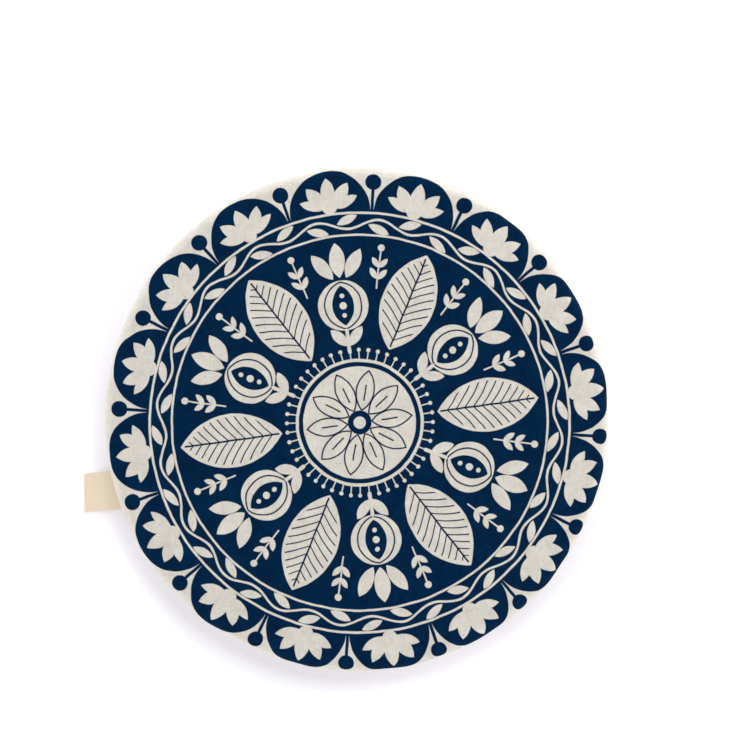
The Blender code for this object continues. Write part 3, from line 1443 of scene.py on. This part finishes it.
    def reach(self, ring: Ring, angles: np.ndarray) -> np.ndarray:
        """Return how far from the axis the cloth's inner face lies on one ring.

        Args:
            ring: The ring.
            angles: The angles round the cover.

        Returns:
            One distance for each angle.
        """
        gathers = self.gathers
        wave = gathers.wave(angles + gathers.leaning(angles) * (1 - ring.down))
        start = gathers.start(angles)
        grown = smoothstep((ring.down - start) / (1 - start))
        move = ring.depth * wave * grown
        move += self.pucker_depth * ring.puckered * gathers.puckers(angles, ring.height)
        creases = gathers.creases(angles, ring.radius, ring.down) - self.crease_mean
        move -= self.crease_depth * ring.gathered * creases * ring.down
        from_rim = 1 - ring.radius / self.rim_radius
        loose = float(smoothstep(1 - from_rim / self.rim_band)) * (1 - ring.down)
        move += self.rim_wander * loose * gathers.wander(angles)
        hold = self.label_hold(angles)
        turned = np.where(hold > 0, angles - self.label_facing, 0.0)
        flat = self.label_wall / np.cos(turned) - ring.behind - ring.radius
        share = min(ring.depth / self.rings[self.seam].depth, 1.0)
        move = (1 - hold) * move + hold * share * flat
        stopped = np.where(move < 0, ring.stopped_in, ring.stopped_out)
        return ring.radius + move * (1 - stopped)

    def level(self, ring: Ring, angles: np.ndarray) -> np.ndarray:
        """Return the height of one ring at each angle."""
        return ring.height + self.seam_waver * ring.wavering * self.gathers.wander(angles)

    def flat_radius(self) -> float:
        """Return the radius of the flat round of cloth."""
        return self.rings[-1].cut

    def shape(self, thing: bpy.types.Object) -> None:
        """Move the turned section's points to the gathers and map them to the flat cloth.

        Args:
            thing: The section, turned round into a smooth shell.
        """
        mesh = thing.data
        count = len(mesh.vertices)
        points = np.empty(count * 3)
        mesh.vertices.foreach_get("co", points)
        points = points.reshape(-1, 3)
        radii = np.hypot(points[:, 0], points[:, 1])
        radii_apart = radii[:, None] - np.array([ring.radius for ring in self.rings])
        heights_apart = points[:, 2][:, None] - np.array([ring.height for ring in self.rings])
        rows = np.hypot(radii_apart, heights_apart).argmin(axis=1)
        columns = len(self.gathers.angles)
        turned = np.arctan2(points[:, 1], points[:, 0]) % FULL_TURN
        column = np.rint(turned / FULL_TURN * columns).astype(int) % columns
        angles = self.gathers.angles[column]
        outward = np.stack([np.cos(angles), np.sin(angles)], axis=1)
        cuts = np.empty((count, 2))
        for index, ring in enumerate(self.rings):
            here = rows == index
            points[here, :2] = self.reach(ring, angles[here])[:, None] * outward[here]
            points[here, 2] = self.level(ring, angles[here])
            cuts[here] = ring.cut * outward[here]
        mesh.vertices.foreach_set("co", points.ravel())
        layer = mesh.uv_layers.new(name=self.CUT_MAP)
        corners = np.empty(len(mesh.loops), dtype=int)
        mesh.loops.foreach_get("vertex_index", corners)
        layer.data.foreach_set("uv", cuts[corners].ravel())
        mesh.update()

    def build(self, cotton: Cotton, design: Rosette) -> bpy.types.Object:
        """Turn the section round, gather it, and give it two sides a thickness apart.

        Args:
            cotton: The cloth's finish.
            design: The print on its right side.

        Returns:
            The sewn cloth.
        """
        section = [(ring.radius, 0.0, ring.height) for ring in self.rings]
        cloth = line_object("cover_cloth_sewn", section)
        screw = cloth.modifiers.new("turn", "SCREW")
        screw.steps = len(self.gathers.angles)
        screw.render_steps = screw.steps
        screw.use_merge_vertices = True
        screw.merge_threshold = self.merge_distance
        apply_modifiers(cloth)
        self.shape(cloth)
        cloth.data.materials.append(cotton.right_side(design))
        cloth.data.materials.append(cotton.wrong_side(design))
        solid = cloth.modifiers.new("thickness", "SOLIDIFY")
        solid.thickness = self.thickness
        solid.offset = 1.0
        solid.material_offset = 1
        solid.material_offset_rim = 0
        apply_modifiers(cloth)
        bpy.ops.object.shade_smooth()
        return cloth

    def declare(self, cloth: bpy.types.Object) -> None:
        """Attach the sewn cloth to the body and hide the imported cloth piece.

        Args:
            cloth: The sewn cloth.
        """
        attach(cloth, BODY)
        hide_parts(Node.CLOTH.value)
        cut = 2 * self.flat_radius()
        math.pi * cut**2 / 4


@dataclass
class Label:
    """The bare tape label: one strip folded in half, with its ends sewn to the casing."""

    cloth: CoverCloth
    width: float = 0.022
    length: float = 0.0322
    thickness: float = 0.00035
    layer_gap: float = 0.0003
    turn_radius: float = 0.0022
    height: float = 0.0045
    sewn_drop: float = 0.0012
    droop: float = math.radians(4)
    curl: float = 0.0005
    curl_start: float = 0.006
    curl_tilt: float = 0.5
    skew: float = 0.096
    columns: int = 22
    drop_steps: int = 4
    bend_steps: int = 8
    run_steps: int = 10
    soft_edge: float = 0.00008
    edge_segments: int = 2
    edge_angle: float = math.radians(60)
    smooth_angle: float = math.radians(40)

    def side_path(self) -> list[Place]:
        """Return the tape's path in side view, from one sewn end to the other.

        Returns:
            The distance from the casing and the height of each point.
        """
        spacing = self.thickness + self.layer_gap
        outer_turn = self.turn_radius + spacing
        table = self.cloth.fold_height - self.cloth.thickness
        centre_out = self.cloth.clearance + self.thickness / 2 + outer_turn
        centre_up = table + self.height + outer_turn
        top = self.cloth.seam_height - self.sewn_drop
        sweep = math.pi / 2 - self.droop
        reach = self.length - centre_out
        along = np.array((math.cos(self.droop), -math.sin(self.droop)))
        under = np.array((-math.sin(self.droop), -math.cos(self.droop)))
        centre = np.array((centre_out, centre_up))

        def drop(radius: float) -> list[np.ndarray]:
            """Return the sewn end of one layer, from the top down to its turn."""
            shares = [step / self.drop_steps for step in range(self.drop_steps)]
            return [np.array((centre_out - radius, top + (centre_up - top) * s)) for s in shares]

        def bend(radius: float) -> list[np.ndarray]:
            """Return the turn from the casing outwards at one layer's radius."""
            angles = [math.pi + sweep * s / self.bend_steps for s in range(self.bend_steps + 1)]
            return [centre + radius * np.array((math.cos(a), math.sin(a))) for a in angles]

        def run(radius: float) -> list[np.ndarray]:
            """Return one layer's straight run out, up to the end fold."""
            shares = [reach * step / self.run_steps for step in range(1, self.run_steps)]
            return [centre + share * along + radius * under for share in shares]

        end = centre + reach * along + (outer_turn - spacing / 2) * under
        fold = []
        for step in range(self.bend_steps + 1):
            angle = math.pi * step / self.bend_steps
            fold.append(end + (under * math.cos(angle) + along * math.sin(angle)) * spacing / 2)
        lower = drop(outer_turn) + bend(outer_turn) + run(outer_turn)
        upper = drop(self.turn_radius) + bend(self.turn_radius) + run(self.turn_radius)
        return [(float(out), float(up)) for out, up in lower + fold + upper[::-1]]

    def build(self) -> bpy.types.Object:
        """Draw the folded path out to the tape's width and give it its thickness.

        Returns:
            The label.
        """
        path = self.side_path()
        points = [(out, -self.width / 2, up) for out, up in path]
        label = line_object("side_label_tape", points)
        make_active(label)
        bpy.ops.object.mode_set(mode="EDIT")
        bpy.ops.mesh.select_all(action="SELECT")
        for _ in range(self.columns):
            bpy.ops.mesh.extrude_region_move(
                TRANSFORM_OT_translate={"value": (0.0, self.width / self.columns, 0.0)}
            )
        bpy.ops.mesh.select_all(action="SELECT")
        bpy.ops.mesh.normals_make_consistent(inside=False)
        bpy.ops.object.mode_set(mode="OBJECT")
        self.map_and_curl(label, path)
        solid = label.modifiers.new("thickness", "SOLIDIFY")
        solid.thickness = self.thickness
        solid.offset = 0.0
        bevel = label.modifiers.new("soft_edges", "BEVEL")
        bevel.width = self.soft_edge
        bevel.segments = self.edge_segments
        bevel.limit_method = "ANGLE"
        bevel.angle_limit = self.edge_angle
        apply_modifiers(label)
        wall = self.cloth.label_wall + self.cloth.thickness
        facing = self.cloth.label_facing
        aside = self.cloth.label_aside
        label.location = (
            wall * math.cos(facing) - aside * math.sin(facing),
            wall * math.sin(facing) + aside * math.cos(facing),
            0.0,
        )
        label.rotation_euler = (0.0, 0.0, facing)
        place_in_mesh(label)
        bpy.ops.object.shade_smooth_by_angle(angle=self.smooth_angle)
        return label

    def map_and_curl(self, label: bpy.types.Object, path: list[Place]) -> None:
        """Map the strip to the flat tape, and let its free end curl a little.

        Args:
            label: The strip, before it has its thickness.
            path: Its path in side view.
        """
        lengths = [0.0]
        for (x0, z0), (x1, z1) in zip(path, path[1:]):
            lengths.append(lengths[-1] + math.hypot(x1 - x0, z1 - z0))
        mesh = label.data
        table = np.array(path)
        places = []
        for vertex in mesh.vertices:
            apart = np.hypot(table[:, 0] - vertex.co.x, table[:, 1] - vertex.co.z)
            places.append((lengths[int(apart.argmin())], vertex.co.y))
        layer = mesh.uv_layers.new(name=CoverCloth.CUT_MAP)
        for loop in mesh.loops:
            layer.data[loop.index].uv = places[loop.vertex_index]
        for vertex in mesh.vertices:
            share = smoothstep((vertex.co.x - self.curl_start) / self.length)
            across = vertex.co.y / (self.width / 2)
            vertex.co.z += self.curl * share * (across**2 + self.curl_tilt * across)
            vertex.co.x += self.skew * share * vertex.co.y

    def dress(self, label: bpy.types.Object, tape: Tape) -> None:
        """Give the label its material, attach it to the body and hide the imported label.

        Args:
            label: The label.
            tape: Its finish.
        """
        label.data.materials.append(tape.material())
        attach(label, BODY)
        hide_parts(Node.LABEL.value)


@dataclass
class HemStitches:
    """The hem's row of stitches, seen on the skirt and on the folded edge inside."""

    cloth: CoverCloth
    pitch: float = 0.0031
    length: float = 0.0023
    thread: float = 0.00019
    below_seam: float = 0.0004
    sunk_ends: float = 1.8
    shares: tuple[float, ...] = (-1.0, -0.75, -0.3, 0.3, 0.75, 1.0)
    nudge: float = 0.0015

    def row(self, inside: bool) -> list[list[Point]]:
        """Return each stitch's points along the gathered seam.

        Args:
            inside: Whether it is the row on the folded edge inside.

        Returns:
            One list of points for each stitch.
        """
        cloth = self.cloth
        seam = cloth.rings[cloth.seam]
        columns = cloth.gathers.angles
        around = FULL_TURN * seam.cut
        count = int(around / self.pitch)
        shares = np.array(self.shares)
        sunk = np.where(np.abs(shares) == 1.0, self.thread * self.sunk_ends, 0.0)
        middles = (np.arange(count) + (0.5 if inside else 0.0)) / count
        along = (middles[:, None] + shares * self.length / around / 2).ravel() % 1.0
        steps = np.arange(len(columns) + 1) / len(columns)
        angles = np.interp(along, steps, np.append(columns, FULL_TURN))
        ahead = self.at(seam, angles + self.nudge) - self.at(seam, angles - self.nudge)
        ahead /= np.hypot(ahead[:, 0], ahead[:, 1])[:, None]
        out = np.stack([ahead[:, 1], -ahead[:, 0]], axis=1)
        proud = self.thread * 0.5 - np.tile(sunk, count)
        lift = -(cloth.edge_gap + proud) if inside else cloth.thickness + proud
        spots = self.at(seam, angles) + out * lift[:, None]
        levels = cloth.level(seam, angles) - self.below_seam
        points = [(float(x), float(y), float(z)) for (x, y), z in zip(spots, levels)]
        size = len(shares)
        return [points[first : first + size] for first in range(0, len(points), size)]

    def at(self, ring: Ring, angles: np.ndarray) -> np.ndarray:
        """Return the points of a ring at the angles, seen from above."""
        reach = self.cloth.reach(ring, angles)
        return np.stack([reach * np.cos(angles), reach * np.sin(angles)], axis=1)

    def build(self) -> bpy.types.Object:
        """Lay a short thread along each stitch of both rows."""
        return thread_object("hem_stitches", self.row(False) + self.row(True), self.thread)


@dataclass
class LabelStitches:
    """The row of stitches that holds the label's two ends on the casing."""

    cloth: CoverCloth
    label: Label
    count: int = 8
    thread: float = 0.00017
    inset: float = 0.0016
    side_margin: float = 0.001
    sunk_ends: float = 1.6
    filled: float = 0.38
    shares: tuple[float, ...] = (-1.0, -0.7, 0.0, 0.7, 1.0)

    def build(self) -> bpy.types.Object:
        """Lay the stitches side by side across the tape, near its ends.

        Returns:
            The stitches.
        """
        cloth = self.cloth
        label = self.label
        spacing = label.thickness + label.layer_gap
        out = cloth.label_wall + cloth.thickness + cloth.clearance + spacing + label.thickness
        out += self.thread * 0.5
        level = cloth.seam_height - label.sewn_drop - self.inset
        across = label.width - 2 * self.side_margin
        pitch = across / self.count
        outward = Vector((math.cos(cloth.label_facing), math.sin(cloth.label_facing), 0.0))
        aside = Vector((-outward.y, outward.x, 0.0))
        stitches = []
        for number in range(self.count):
            middle = (number + 0.5) * pitch - across / 2 + cloth.label_aside
            points = []
            for share in self.shares:
                sunk = self.thread * self.sunk_ends if abs(share) == 1.0 else 0.0
                place = outward * (out - sunk) + aside * (middle + share * pitch * self.filled)
                points.append((place.x, place.y, level))
            stitches.append(points)
        return thread_object("label_stitches", stitches, self.thread)


def thread_object(name: str, stitches: list[list[Point]], radius: float) -> bpy.types.Object:
    """Make one mesh of short round threads.

    Args:
        name: The object's name.
        stitches: One list of points for each thread.
        radius: Half the thread's thickness.

    Returns:
        The new object.
    """
    curve = bpy.data.curves.new(name, "CURVE")
    curve.dimensions = "3D"
    curve.bevel_depth = radius
    curve.bevel_resolution = 1
    curve.use_fill_caps = True
    for points in stitches:
        spline = curve.splines.new("POLY")
        spline.points.add(len(points) - 1)
        for spot, point in zip(spline.points, points):
            spot.co = (*point, 1.0)
    make_active(linked(name, curve))
    bpy.ops.object.convert(target="MESH")
    bpy.ops.object.shade_smooth_by_angle(angle=THREAD_SMOOTHING)
    return bpy.context.view_layer.objects.active


def dress_thread(thing: bpy.types.Object, thread: Thread) -> None:
    """Give a row of stitches its material, and say what it rides on.

    Args:
        thing: The stitches.
        thread: Their finish.
    """
    thing.data.materials.append(thread.material())
    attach(thing, BODY)


@dataclass
class HemElastic:
    """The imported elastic, which runs unseen in the casing."""

    finish: RibbedElastic

    def dress(self) -> None:
        """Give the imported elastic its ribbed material."""
        ring = bpy.data.objects[Node.ELASTIC.value]
        material = self.finish.material()
        if ring.material_slots:
            for slot in ring.material_slots:
                slot.material = material
        else:
            ring.data.materials.append(material)


@dataclass(frozen=True)
class SoftBox:
    """One square lamp that points at the cover, placed by its bearing and height."""

    name: str
    bearing: float
    rise: float
    level: float
    size: float = 0.8
    distance: float = 1.8

    def hang(self) -> None:
        """Hang the lamp so that it lights the flat top at its level of the full light."""
        bearing = math.radians(self.bearing)
        rise = math.radians(self.rise)
        flat = Vector((math.cos(bearing), math.sin(bearing), 0.0)) * math.cos(rise)
        place = (flat + Vector((0.0, 0.0, math.sin(rise)))) * self.distance
        light = bpy.data.lights.new(self.name, "AREA")
        light.shape = "SQUARE"
        light.size = self.size
        light.energy = self.level * (math.pi * self.distance) ** 2 / math.sin(rise)
        lamp = linked(self.name, light)
        lamp.location = place
        lamp.rotation_euler = (-place).to_track_quat("-Z", "Y").to_euler()


@dataclass
class Studio:
    """A white floor, soft light from the upper right and a camera straight above.

    The floor glows white to the camera, so that only the shadow near the cover shows on it.
    """

    table: float
    camera_height: float = 1.10
    sensor: float = 36.0
    view_across: float = 0.4160
    view_middle: Place = (0.0103, 0.0248)
    floor_size: float = 6.0
    floor_colour: RGB = (0.90, 0.88, 0.935)
    floor_roughness: float = 0.9
    floor_specular: float = 0.1
    floor_glow: float = 0.185
    shadow_radius: float = 0.1505
    shadow_fade: float = 11.0
    sky_colour: RGB = (0.93, 0.95, 1.0)
    sky_level: float = 0.43
    white: RGB = (1.0, 1.0, 1.0)
    boxes: tuple[SoftBox, ...] = (
        SoftBox("key_box", bearing=70.0, rise=68.0, level=0.25, size=0.65),
        SoftBox("right_box", bearing=22.0, rise=15.0, level=0.105),
        SoftBox("back_box", bearing=102.0, rise=15.0, level=0.08),
        SoftBox("left_box", bearing=197.0, rise=15.0, level=0.09),
        SoftBox("front_box", bearing=292.0, rise=15.0, level=0.075),
    )

    def floor(self) -> None:
        """Lay the floor, which stays white to the camera and takes a pale shadow."""
        deselect_all()
        bpy.ops.mesh.primitive_plane_add(size=self.floor_size, location=(0.0, 0.0, self.table))
        floor = bpy.context.view_layer.objects.active
        floor.name = "studio_floor"
        shader = Shader("studio_floor")
        shader.even(
            {
                "Base Color": (*self.floor_colour, 1.0),
                "Roughness": self.floor_roughness,
                "Specular IOR Level": self.floor_specular,
                "Emission Color": (*self.white, 1.0),
            }
        )
        length = shader.node("VectorMath")
        length.operation = "LENGTH"
        shader.link(shader.object_place(), length.inputs[0])
        beyond = Field(shader.tree, length.outputs["Value"]) - self.shadow_radius
        glow = beyond.most(0.0) * self.shadow_fade + self.floor_glow
        seen = Field(shader.tree, shader.node("LightPath").outputs["Is Camera Ray"])
        shader.link((seen * glow.least(1.0)).socket, shader.bsdf.inputs["Emission Strength"])
        floor.data.materials.append(shader.material)

    def sky(self) -> None:
        """Fill the room with a soft light, and show the camera a white backdrop."""
        world = bpy.data.worlds.new("studio")
        bpy.context.scene.world = world
        world.use_nodes = True
        tree = world.node_tree
        tree.nodes.clear()
        out = tree.nodes.new("ShaderNodeOutputWorld")
        mixed = tree.nodes.new("ShaderNodeMixShader")
        looks = ((self.sky_colour, self.sky_level), (self.white, 1.0))
        for place, (colour, level) in enumerate(looks, start=1):
            light = tree.nodes.new("ShaderNodeBackground")
            light.inputs["Color"].default_value = (*colour, 1.0)
            light.inputs["Strength"].default_value = level
            tree.links.new(light.outputs[0], mixed.inputs[place])
        path = tree.nodes.new("ShaderNodeLightPath")
        seen = Field(tree, path.outputs["Is Camera Ray"])
        for ray in ("Is Glossy Ray", "Is Transmission Ray"):
            seen = seen.most(Field(tree, path.outputs[ray]))
        tree.links.new(seen.socket, mixed.inputs["Fac"])
        tree.links.new(mixed.outputs[0], out.inputs["Surface"])

    def camera(self) -> None:
        """Hang the camera straight above, a little off the cover's middle."""
        data = bpy.data.cameras.new("camera")
        data.sensor_width = self.sensor
        data.lens = self.sensor * self.camera_height / self.view_across
        camera = linked("camera", data)
        camera.location = (*self.view_middle, self.camera_height)
        bpy.context.scene.camera = camera

    def build(self) -> None:
        """Set up the floor, the light and the camera."""
        self.floor()
        for box in self.boxes:
            box.hang()
        self.sky()
        self.camera()
        bpy.context.scene.view_settings.view_transform = "Standard"


def report(piece: bpy.types.Object) -> None:
    """Report a finished piece."""
    LOG.info("%s: %d faces", piece.name, len(piece.data.polygons))


def main() -> None:
    """Build the cover's pieces in order, dress them and light them."""
    logging.basicConfig(level=logging.INFO, format="%(message)s")
    cover = CoverCloth(Gathers())
    cloth = cover.build(Cotton(), Rosette())
    cover.declare(cloth)
    report(cloth)
    LOG.info("the cloth was cut %.3f m across", 2 * cover.flat_radius())
    label = Label(cover)
    tape = label.build()
    label.dress(tape, Tape())
    report(tape)
    hem = HemStitches(cover).build()
    dress_thread(hem, Thread("hem_thread", colour=(226, 218, 200)))
    report(hem)
    sewn = LabelStitches(cover, label).build()
    dress_thread(sewn, Thread("label_thread", colour=(232, 220, 198)))
    report(sewn)
    HemElastic(RibbedElastic()).dress()
    LOG.info("elastic dressed")
    Studio(table=cover.fold_height - cover.thickness).build()


if __name__ == "__main__":
    main()
